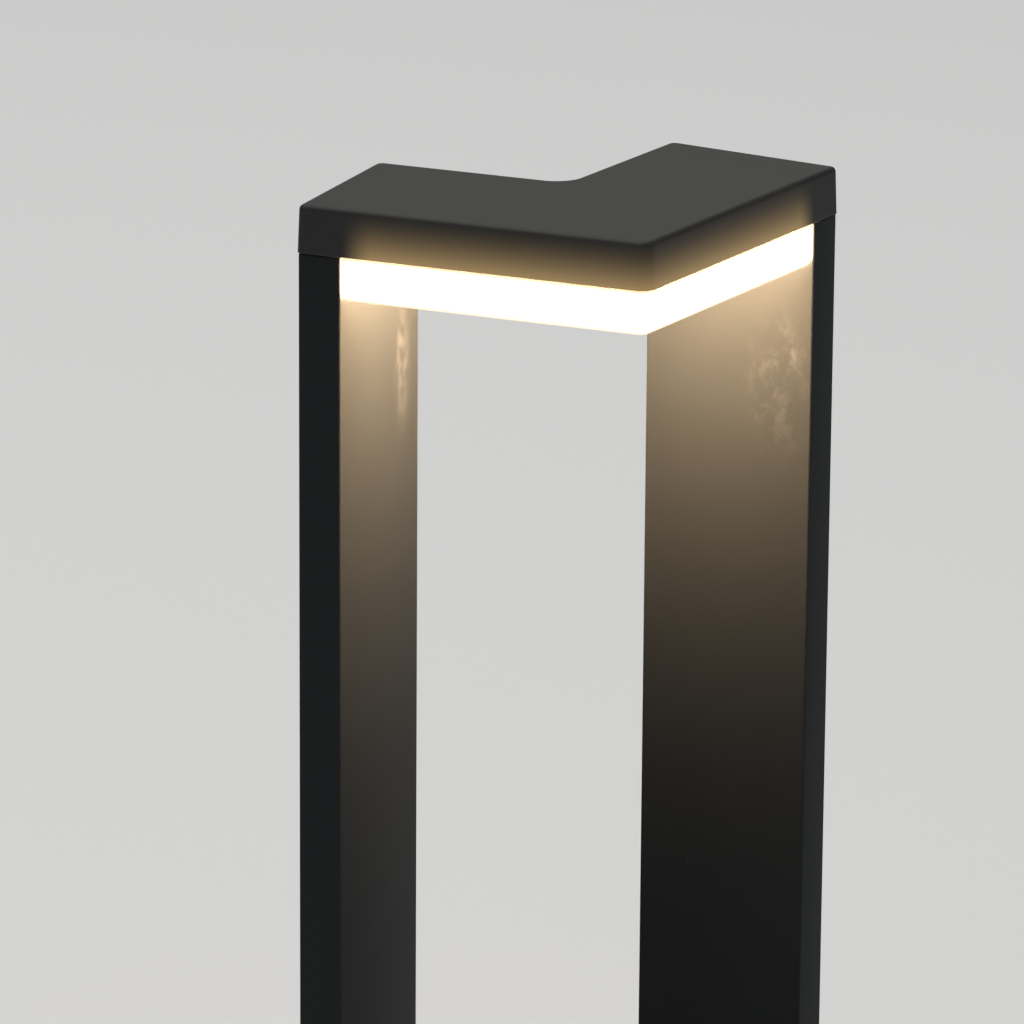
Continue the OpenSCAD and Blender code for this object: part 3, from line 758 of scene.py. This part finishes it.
FINISHES: tuple[Finish, ...] = (
    ScuffedCoat(Slot.POWDER, COAT, rough=0.5, wear=0.03, specular=0.09, scuffs=(
        Scuff((-0.0718, 0.0643, 0.503), (0.011, 0.011, 0.042), 0.34, (300.0, 150.0), (0.40, 0.6)),
        Scuff((0.1078, 0.0221, 0.492), (0.024, 0.024, 0.052), 0.2, (120.0, 90.0), (0.44, 0.7)),
        Scuff((0.1155, 0.0140, 0.508), (0.006, 0.006, 0.005), 0.45),
        Scuff((-0.0718, 0.0643, 0.484), (0.006, 0.006, 0.006), 0.45),
    )),
    # The cover's coat carries painted light: a glow painted as emission at the rim and a top painted
    # lighter.
    PaintedGlowCoat(Slot.COVER, (0.0265, 0.0280, 0.0272), rough=0.5, wear=0.08, specular=0.2),
    OpalGlow(Slot.OPAL, (0.86, 0.84, 0.78), rough=0.4, wear=0.05, grain_depth=0.00001),
    Finish(Slot.ALUMINIUM, (0.62, 0.63, 0.64), rough=0.36, metallic=1.0, grain=900.0),
    Finish(Slot.STAINLESS, (0.6, 0.6, 0.61), rough=0.28, metallic=1.0, grain=2500.0),
    Finish(Slot.RUBBER, (0.02, 0.02, 0.02), rough=0.75, wear=0.4),
    Finish(Slot.PAD, (0.28, 0.32, 0.4), rough=0.8),
    Finish(Slot.BOARD, (0.8, 0.8, 0.77), rough=0.45, wear=0.1),
    Finish(Slot.CHIP, (0.85, 0.55, 0.08), rough=0.25, coat=0.4, wear=0.05),
    Finish(Slot.REFLECTOR, (0.86, 0.86, 0.85), rough=0.55, wear=0.08),
    Finish(Slot.PLUG, (0.025, 0.025, 0.025), rough=0.55),
    Finish(Slot.GEAR, (0.035, 0.035, 0.038), rough=0.5),
    Finish(Slot.DRIVER, (0.7, 0.7, 0.68), rough=0.45, wear=0.2),
    Finish(Slot.CONNECTOR, (0.72, 0.68, 0.55), rough=0.35, coat=0.2, wear=0.1),
    Finish(Slot.LEAD, (0.018, 0.018, 0.019), rough=0.5, grain=700.0),
)


class Palette:
    """The materials, one for each slot."""

    def __init__(self) -> None:
        """Build every finish once."""
        self.materials = {f.slot: f.make() for f in FINISHES}

    def dress(self, obj: bpy.types.Object, slot: Slot) -> None:
        """Give an object one finish only.

        Args:
            obj: the object.
            slot: the finish's slot.
        """
        obj.data.materials.clear()
        obj.data.materials.append(self.materials[slot])
        if len(obj.data.polygons):
            obj.data.polygons.foreach_set(
                "material_index", np.zeros(len(obj.data.polygons), dtype=np.int32))


# ---------------------------------------------------------------- sub-assemblies


@dataclass
class SubAssembly:
    """A group of pieces: new surfaces, and the nodes that are shown as they are.

    Attributes:
        palette: the materials.
        plan: the chevron outline.
        height: height of the light.
        cover_h: height of the head cover.
        shown: CAD nodes that the group dresses, and their finishes.
    """

    palette: Palette
    plan: Chevron = field(default_factory=Chevron)
    height: float = 600 * MM
    cover_h: float = 24 * MM
    shown: dict[str, Slot] = field(default_factory=dict)

    @property
    def rim_z(self) -> float:
        """Height of the cover's rim."""
        return self.height - self.cover_h

    def surfaces(self) -> list[tuple[Surface, str, str, Slot]]:
        """New surfaces of the group.

        Returns:
            For each piece its surface, its name, the node it replaces and its slot.
        """
        return []

    def build(self) -> None:
        """Build the new surfaces and dress the nodes that stay."""
        for surface, name, node, slot in self.surfaces():
            obj = surface.build(name)
            self.palette.dress(obj, slot)
            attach(obj, ROOT_BODY)
            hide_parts(node)
            LOG.info("%s: %d faces in place of %s", name, len(obj.data.polygons), node)
        for node, slot in self.shown.items():
            self.palette.dress(bpy.data.objects[node], slot)
        LOG.info("%s: %d nodes dressed", type(self).__name__, len(self.shown))


@dataclass
class HeadCover(SubAssembly):
    """The die-cast cover: a drafted shell with a rounded top edge and screw pillars.

    Attributes:
        wall: side wall.
        top: top wall.
        flare: how far the draft widens the rim.
        round_r: rounding of the top edge.
        rim_r: rounding of the rim's outer edge.
        pillar_r: radius of a screw pillar.
        pillar_s: distance along the arm of the pillars near the posts.
        pillar_in: distance of a pillar's middle from the arm's faces.
        corner_in: the same for the pillar in the fold's corner.
        pillar_low: height of a pillar's lower end above the rim.
    """

    wall: float = 3 * MM
    top: float = 3 * MM
    flare: float = 0.8 * MM
    round_r: float = 2.8 * MM
    rim_r: float = 0.5 * MM
    pillar_r: float = 4 * MM
    pillar_s: float = 140 * MM
    pillar_in: float = 9.5 * MM
    corner_in: float = 9.9 * MM
    pillar_low: float = 3 * MM
    shown: dict[str, Slot] = field(default_factory=lambda: {
        "head_chassis": Slot.ALUMINIUM, "cover_screws": Slot.STAINLESS,
        "head_grommet": Slot.RUBBER})

    def surfaces(self) -> list[tuple[Surface, str, str, Slot]]:
        """The shell and its pillars as one piece.

        Returns:
            The cover's surface with its name, node and slot.
        """
        surface = Surface().stack(self.section())
        spots = [self.plan.place(self.pillar_s, d, side) for side in (1, -1)
                 for d in (self.pillar_in, self.plan.width - self.pillar_in)]
        spots.append(np.array([0.0, self.plan.corner_y
                               + self.corner_in / math.sin(self.plan.half)]))
        for x, y in spots:
            surface.stack(circle_rings(x, y, self.pillar_r,
                                       (self.rim_z + self.pillar_low, self.height - self.top)))
        return [(surface, "cover_shell", "head_cover", Slot.COVER)]

    def section(self) -> Rings:
        """Rings from the inner ceiling down the inside, round the rim and up outside.

        The outer wall's inset runs straight from -flare at the rim to 0 below the top
        edge. The edges are quarter circles: inset r (1 - cos a) at a rise of r sin a.

        Returns:
            The rings, inside first.
        """
        ceiling = self.height - self.top
        rings = [self._ring(self.wall + 1 * MM, ceiling), self._ring(self.wall, ceiling),
                 self._ring(self.wall, ceiling - 1 * MM), self._ring(self.wall, self.rim_z + 1 * MM),
                 self._ring(self.wall, self.rim_z)]
        for a in np.radians(np.linspace(90, 0, 4)):
            rings.append(self._ring(-self.flare + self.rim_r * (1 - math.cos(a)),
                                    self.rim_z + self.rim_r * (1 - math.sin(a))))
        shoulder = self.height - self.round_r
        for k in np.linspace(0.06, 0.96, 5):
            z = self.rim_z + self.rim_r + k * (shoulder - self.rim_z - self.rim_r)
            rings.append(self._ring(-self.flare * (1 - k), z))
        for a in np.radians(np.linspace(0, 90, 7)):
            rings.append(self._ring(self.round_r * (1 - math.cos(a)),
                                    shoulder + self.round_r * math.sin(a)))
        rings.append(self._ring(self.round_r + 0.8 * MM, self.height))
        return rings

    def _ring(self, inset: float, z: float) -> np.ndarray:
        """One ring of the cover, inset alike at its faces and its ends.

        Args:
            inset: distance in from the nominal outline.
            z: height of the ring.

        Returns:
            Points of shape (n, 3).
        """
        end_r = max(self.plan.end_r - inset, 0.5 * MM)
        return lift(self.plan.outline(inset, self.plan.arm - inset, end_r), z)


@dataclass
class LightTray(SubAssembly):
    """The opal tray below the cover, with a rounded lower edge and snap hooks.

    Attributes:
        tray_h: height of the tray below the rim, with its gasket.
        gasket: thickness of the gasket.
        wall: wall of the tray.
        round_r: rounding of the lower edge.
        end_part: the lower edge's inset at the ends, as a part of that at the faces.
        end_s: distance from the sharp corner to the tray's end.
        chassis: thickness of the plate that the hooks hold.
        hook_half: half the length of a hook along the arm.
        outer_hooks: distances along the arm of the hooks at the outer face.
        inner_hook: distance along the arm of the hook at the inner face.
        tab: distances of a hook's tab from the arm's face.
        barb_in: distance of the barb's inner side from the arm's face.
        barb_up: height of a hook's top above the plate.
    """

    tray_h: float = 22.5 * MM
    gasket: float = 0.5 * MM
    wall: float = 2.6 * MM
    round_r: float = 6 * MM
    end_part: float = 0.6
    end_s: float = 157.6 * MM
    chassis: float = 3 * MM
    hook_half: float = 7 * MM
    outer_hooks: tuple[float, float] = (61 * MM, 123 * MM)
    inner_hook: float = 123 * MM
    tab: tuple[float, float] = (3.8 * MM, 5.4 * MM)
    barb_in: float = 6.8 * MM
    barb_up: float = 2.3 * MM
    shown: dict[str, Slot] = field(default_factory=lambda: {"diffuser_gasket": Slot.RUBBER})

    def surfaces(self) -> list[tuple[Surface, str, str, Slot]]:
        """The tray and its hooks as one piece.

        Returns:
            The tray's surface with its name, node and slot.
        """
        surface = Surface().stack(self.section())
        for side in (1, -1):
            places = [(s, False) for s in self.outer_hooks] + [(self.inner_hook, True)]
            for s, flip in places:
                for d, z in self.hook():
                    ds = (self.plan.width - d[1], self.plan.width - d[0]) if flip else d
                    span = (s - self.hook_half, s + self.hook_half)
                    surface.stack(box_rings(span, ds, z, self.plan, side))
        return [(surface, "opal_tray", "diffuser", Slot.OPAL)]

    def hook(self) -> tuple[tuple[tuple[float, float], tuple[float, float]], ...]:
        """The rib, tab and barb of one hook, each as (d range, z range).

        Returns:
            The three blocks.
        """
        low = self.rim_z - self.tray_h
        top = self.rim_z + self.chassis
        neck = self.rim_z - 1.5 * MM
        tab_in = self.tab[1]
        barb_top = top + self.barb_up
        return (((self.wall - 0.4 * MM, tab_in), (low + 8 * MM, neck)),
                (self.tab, (neck, barb_top)),
                ((tab_in, self.barb_in), (top + 0.2 * MM, barb_top)))

    def section(self) -> Rings:
        """Rings from the inner floor up the inside, over the edge and down outside.

        The lower edge is a quarter circle of radius r, outside and, less the wall,
        inside: inset r (1 - sin a) at a rise of r (1 - cos a).

        Returns:
            The rings, inside first; the walk ends at the tray's underside.
        """
        low, high = self.rim_z - self.tray_h, self.rim_z - self.gasket
        inner_r = self.round_r - self.wall
        angles = np.radians(np.linspace(0, 90, 9))
        rings = [self._ring(self.wall + inner_r + 1 * MM, low + self.wall, self.wall)]
        rings += [self._ring(self.wall + inner_r * (1 - math.sin(a)),
                             low + self.wall + inner_r * (1 - math.cos(a)), self.wall)
                  for a in angles]
        rings += [self._ring(self.wall, high, self.wall), self._ring(0.5 * MM, high, 0.3 * MM),
                  self._ring(0.0, high - 0.5 * MM, 0.0), self._ring(0.0, high - 1.5 * MM, 0.0)]
        rings += [self._ring(self.round_r * (1 - math.sin(a)),
                             low + self.round_r * (1 - math.cos(a)),
                             self.end_part * self.round_r * (1 - math.sin(a)))
                  for a in angles[::-1]]
        rings.append(self._ring(self.round_r + 1 * MM, low, self.end_part * self.round_r + 1 * MM))
        return rings

    def _ring(self, inset: float, z: float, end_inset: float) -> np.ndarray:
        """One ring of the tray.

        Args:
            inset: distance in from the arm's long faces.
            z: height of the ring.
            end_inset: distance in from the tray's ends.

        Returns:
            Points of shape (n, 3).
        """
        return lift(self.plan.outline(inset, self.end_s - end_inset, 0.5 * MM), z)


@dataclass
class Posts(SubAssembly):
    """The two extruded slab posts, hollow, with rounded edges and screw ports.

    Attributes:
        thick: thickness along the arm.
        wall: wall of the extrusion.
        edge_r: radius of the outer edges.
        back_r: radius of the edge under the cover's inner end corner.
        low: height of the lower end.
        seal: thickness of the seal above.
        port_edge: distance from a narrow side to a screw port.
    """

    thick: float = 22 * MM
    wall: float = 2.2 * MM
    edge_r: float = 1 * MM
    back_r: float = 3.2 * MM
    low: float = 36.6 * MM
    seal: float = 0.6 * MM
    port_edge: float = 14 * MM
    shown: dict[str, Slot] = field(default_factory=lambda: {
        "post_top_seals": Slot.RUBBER, "post_bottom_seals": Slot.RUBBER,
        "post_top_screws": Slot.STAINLESS, "post_bottom_screws": Slot.STAINLESS})

    def surfaces(self) -> list[tuple[Surface, str, str, Slot]]:
        """Both posts.

        Returns:
            For each post its surface, name, node and slot.
        """
        return [(self.post(1), "post_right_skin", "right_post", Slot.POWDER),
                (self.post(-1), "post_left_skin", "left_post", Slot.POWDER)]

    def post(self, side: int) -> Surface:
        """One post: a closed tube wall, two webs and two screw ports on them.

        Args:
            side: 1 for the right arm, -1 for the left one.

        Returns:
            The post's surface.
        """
        top = self.rim_z - self.seal
        outer = self._ring(0.0, self.edge_r, side)
        inner = self._ring(self.wall, 0.3 * MM, side)
        surface = Surface().stack([lift(inner, self.low), lift(outer, self.low), lift(outer, top),
                                   lift(inner, top)], closed=True)
        s0, s1 = self.plan.arm - self.thick, self.plan.arm
        for d in (self.port_edge, self.plan.width - self.port_edge):
            surface.stack(box_rings((s0 + self.wall, s1 - self.wall), (d - 1 * MM, d + 1 * MM),
                                    (self.low, top), self.plan, side))
            x, y = self.plan.place((s0 + s1) / 2, d, side)
            bore = circle_rings(x, y, 2.6 * MM, (self.low, top))
            port = circle_rings(x, y, 4.5 * MM, (self.low, top))
            surface.stack([bore[0], port[0], port[1], bore[1]], closed=True)
        return surface

    def _ring(self, inset: float, r: float, side: int) -> np.ndarray:
        """A rounded rectangle: quarter arcs c + r (cos a, sin a) at its four corners.

        Args:
            inset: distance in from the post's faces.
            r: radius of the corners.
            side: 1 for the right arm, -1 for the left one.

        Returns:
            Points of shape (n, 2), counter-clockwise from above.
        """
        s0, s1 = self.plan.arm - self.thick + inset, self.plan.arm - inset
        d0, d1 = inset, self.plan.width - inset
        ring = []
        back = max(self.back_r - inset, r)
        for cs, cd, start, q in ((s1 - r, d0 + r, -90, r), (s1 - back, d1 - back, 0, back),
                                 (s0 + r, d1 - r, 90, r), (s0 + r, d0 + r, 180, r)):
            a = np.radians(np.linspace(start, start + 90, 9))
            ring.append(np.column_stack([cs + q * np.cos(a), cd + q * np.sin(a)]))
        flat = np.concatenate(ring)
        xy = flat[:, :1] * self.plan.along + flat[:, 1:] * self.plan.inward
        xy = np.column_stack([side * xy[:, 0], xy[:, 1] + self.plan.corner_y])
        return xy if side > 0 else xy[::-1]


@dataclass
class LightEngine(SubAssembly):
    """The circuit board, its chips and the pieces round it."""

    shown: dict[str, Slot] = field(default_factory=lambda: {
        "thermal_pad": Slot.PAD, "led_board": Slot.BOARD, "led_chips": Slot.CHIP,
        "reflector_sheet": Slot.REFLECTOR, "board_screws": Slot.STAINLESS,
        "board_connector": Slot.CONNECTOR, "led_lead": Slot.LEAD})


@dataclass
class Base(SubAssembly):
    """The base housing with its plugs, driver, junction box and glands."""

    shown: dict[str, Slot] = field(default_factory=lambda: {
        "base_housing": Slot.POWDER, "base_grommet": Slot.RUBBER, "anchor_plugs": Slot.PLUG,
        "driver_case": Slot.DRIVER, "driver_screws": Slot.STAINLESS, "junction_box": Slot.GEAR,
        "junction_lid": Slot.GEAR, "junction_seal": Slot.RUBBER,
        "junction_lid_screws": Slot.STAINLESS, "junction_mount_screws": Slot.STAINLESS,
        "supply_gland": Slot.PLUG, "supply_gland_nut": Slot.PLUG,
        "supply_gland_insert": Slot.RUBBER, "lead_gland": Slot.PLUG, "lead_gland_nut": Slot.PLUG,
        "terminal_block": Slot.CONNECTOR, "terminal_screws": Slot.STAINLESS,
        "driver_input_lead": Slot.LEAD})


# ---------------------------------------------------------------- studio and camera


@dataclass(frozen=True)
class Studio:
    """Pale floor, soft light from above and a sky that is brighter overhead.

    Attributes:
        floor_half: half the side of the floor.
        floor_colour: colour of the floor.
        key_at: place of the overhead light.
        key_power: power of the overhead light.
        key_size: side of the overhead light.
        sky_up: brightness that the sky gains overhead.
        sky_back: brightness that the sky gains at the back.
        sky_base: brightness of the sky everywhere.
    """

    floor_half: float = 60.0
    floor_colour: Colour = (0.78, 0.78, 0.775)
    key_at: tuple[float, float, float] = (-1.3, 0.5, 9.0)
    key_power: float = 560.0
    key_size: float = 8.0
    sky_up: float = 0.32
    sky_back: float = 0.22
    sky_base: float = 0.03

    def build(self) -> None:
        """Make the floor, the lamp and the sky."""
        self._floor()
        self._lamp("key", self.key_at, self.key_size, self.key_power, (1.0, 0.995, 0.985))
        self._sky()

    def _floor(self) -> None:
        """A square floor at the height of the ground."""
        h = self.floor_half
        mesh = bpy.data.meshes.new("floor")
        mesh.from_pydata([(-h, -h, 0), (h, -h, 0), (h, h, 0), (-h, h, 0)], [], [(0, 1, 2, 3)])
        floor = bpy.data.objects.new("floor", mesh)
        bpy.context.scene.collection.objects.link(floor)
        material = bpy.data.materials.new("floor")
        material.use_nodes = True
        shader = material.node_tree.nodes["Principled BSDF"]
        shader.inputs["Base Color"].default_value = rgba(self.floor_colour)
        shader.inputs["Roughness"].default_value = 0.95
        shader.inputs["Specular IOR Level"].default_value = 0.0
        mesh.materials.append(material)

    def _lamp(self, name: str, at: tuple[float, float, float], size: float, power: float,
              colour: Colour) -> None:
        """One square lamp that looks at the middle of the light.

        Args:
            name: name of the lamp.
            at: its place.
            size: its side.
            power: its power.
            colour: its colour.
        """
        data = bpy.data.lights.new(name, "AREA")
        data.shape, data.size, data.energy, data.color = "SQUARE", size, power, colour
        lamp = bpy.data.objects.new(name, data)
        lamp.location = at
        aim = Vector((0, 0, 0.3)) - Vector(at)
        lamp.rotation_mode = "QUATERNION"
        lamp.rotation_quaternion = aim.to_track_quat("-Z", "Y")
        bpy.context.scene.collection.objects.link(lamp)

    def _sky(self) -> None:
        """A plain sky: its brightness rises with height and towards the back."""
        world = bpy.data.worlds.new("studio")
        bpy.context.scene.world = world
        world.use_nodes = True
        n = Nodes(world.node_tree)
        n.tree.nodes.clear()
        ray = n.add("ShaderNodeTexCoord").outputs["Generated"]
        parts = n.add("ShaderNodeSeparateXYZ", {0: ray})
        up = n.ramp(parts.outputs["Z"], 0.15, 0.9, 0.0, self.sky_up)
        back = n.ramp(parts.outputs["Y"], 0.1, 0.9, 0.0, self.sky_back)
        level = n.math("ADD", n.math("ADD", up, back), self.sky_base)
        sky = n.add("ShaderNodeBackground", {"Color": (0.98, 0.99, 1.0, 1.0), "Strength": level})
        n.add("ShaderNodeOutputWorld", {"Surface": sky.outputs[0]})


@dataclass(frozen=True)
class Viewpoint:
    """The camera, placed relative to the head's top corner.

    The angles turn a level camera: yaw about the vertical, then pitch down, then roll
    about the line of sight. The offsets place the corner in the view, as parts of the
    distance.

    Attributes:
        yaw: turn from the row's +Y axis, in degrees.
        pitch: angle below the horizon, in degrees.
        roll: turn about the line of sight, in degrees.
        across: sideways place of the corner in the view.
        down: downward place of the corner in the view.
        distance: distance to the corner.
        lens: focal length for a 36 mm sensor.
    """

    yaw: float = 27.21 - 45.0
    pitch: float = 16.65
    roll: float = -0.40
    across: float = 0.0191
    down: float = -0.0376
    distance: float = 18.568 * 180 * MM
    lens: float = 7150.4 / 1024 * 36

    def build(self, plan: Chevron, height: float) -> bpy.types.Object:
        """Make the camera and give it to the scene.

        Args:
            plan: the chevron outline.
            height: height of the light.

        Returns:
            The camera.
        """
        yaw, pitch, roll = (math.radians(a) for a in (self.yaw, self.pitch, self.roll))
        ahead = np.array([-math.sin(yaw) * math.cos(pitch), math.cos(yaw) * math.cos(pitch),
                          -math.sin(pitch)])
        right = np.array([math.cos(yaw), math.sin(yaw), 0.0])
        below = np.cross(ahead, right)
        right, below = (math.cos(roll) * right + math.sin(roll) * below,
                        -math.sin(roll) * right + math.cos(roll) * below)
        corner = np.array([0.0, plan.corner_y, height])
        offset = (right * self.across + below * self.down + ahead) * self.distance
        data = bpy.data.cameras.new("camera")
        data.sensor_width, data.lens = 36.0, self.lens
        data.clip_start, data.clip_end = 0.05, 200.0
        camera = bpy.data.objects.new("camera", data)
        turn = Matrix(np.column_stack([right, -below, -ahead]).tolist())
        camera.matrix_world = Matrix.Translation(corner - offset) @ turn.to_4x4()
        bpy.context.scene.collection.objects.link(camera)
        bpy.context.scene.camera = camera
        return camera


def main() -> None:
    """Build, dress and light the bollard."""
    palette = Palette()
    groups: tuple[Callable[[Palette], SubAssembly], ...] = (
        HeadCover, LightTray, Posts, LightEngine, Base)
    for group in groups:
        group(palette).build()
    Studio().build()
    Viewpoint().build(Chevron(), 600 * MM)
    bpy.context.scene.view_settings.view_transform = "Standard"


if __name__ == "__main__":
    main()
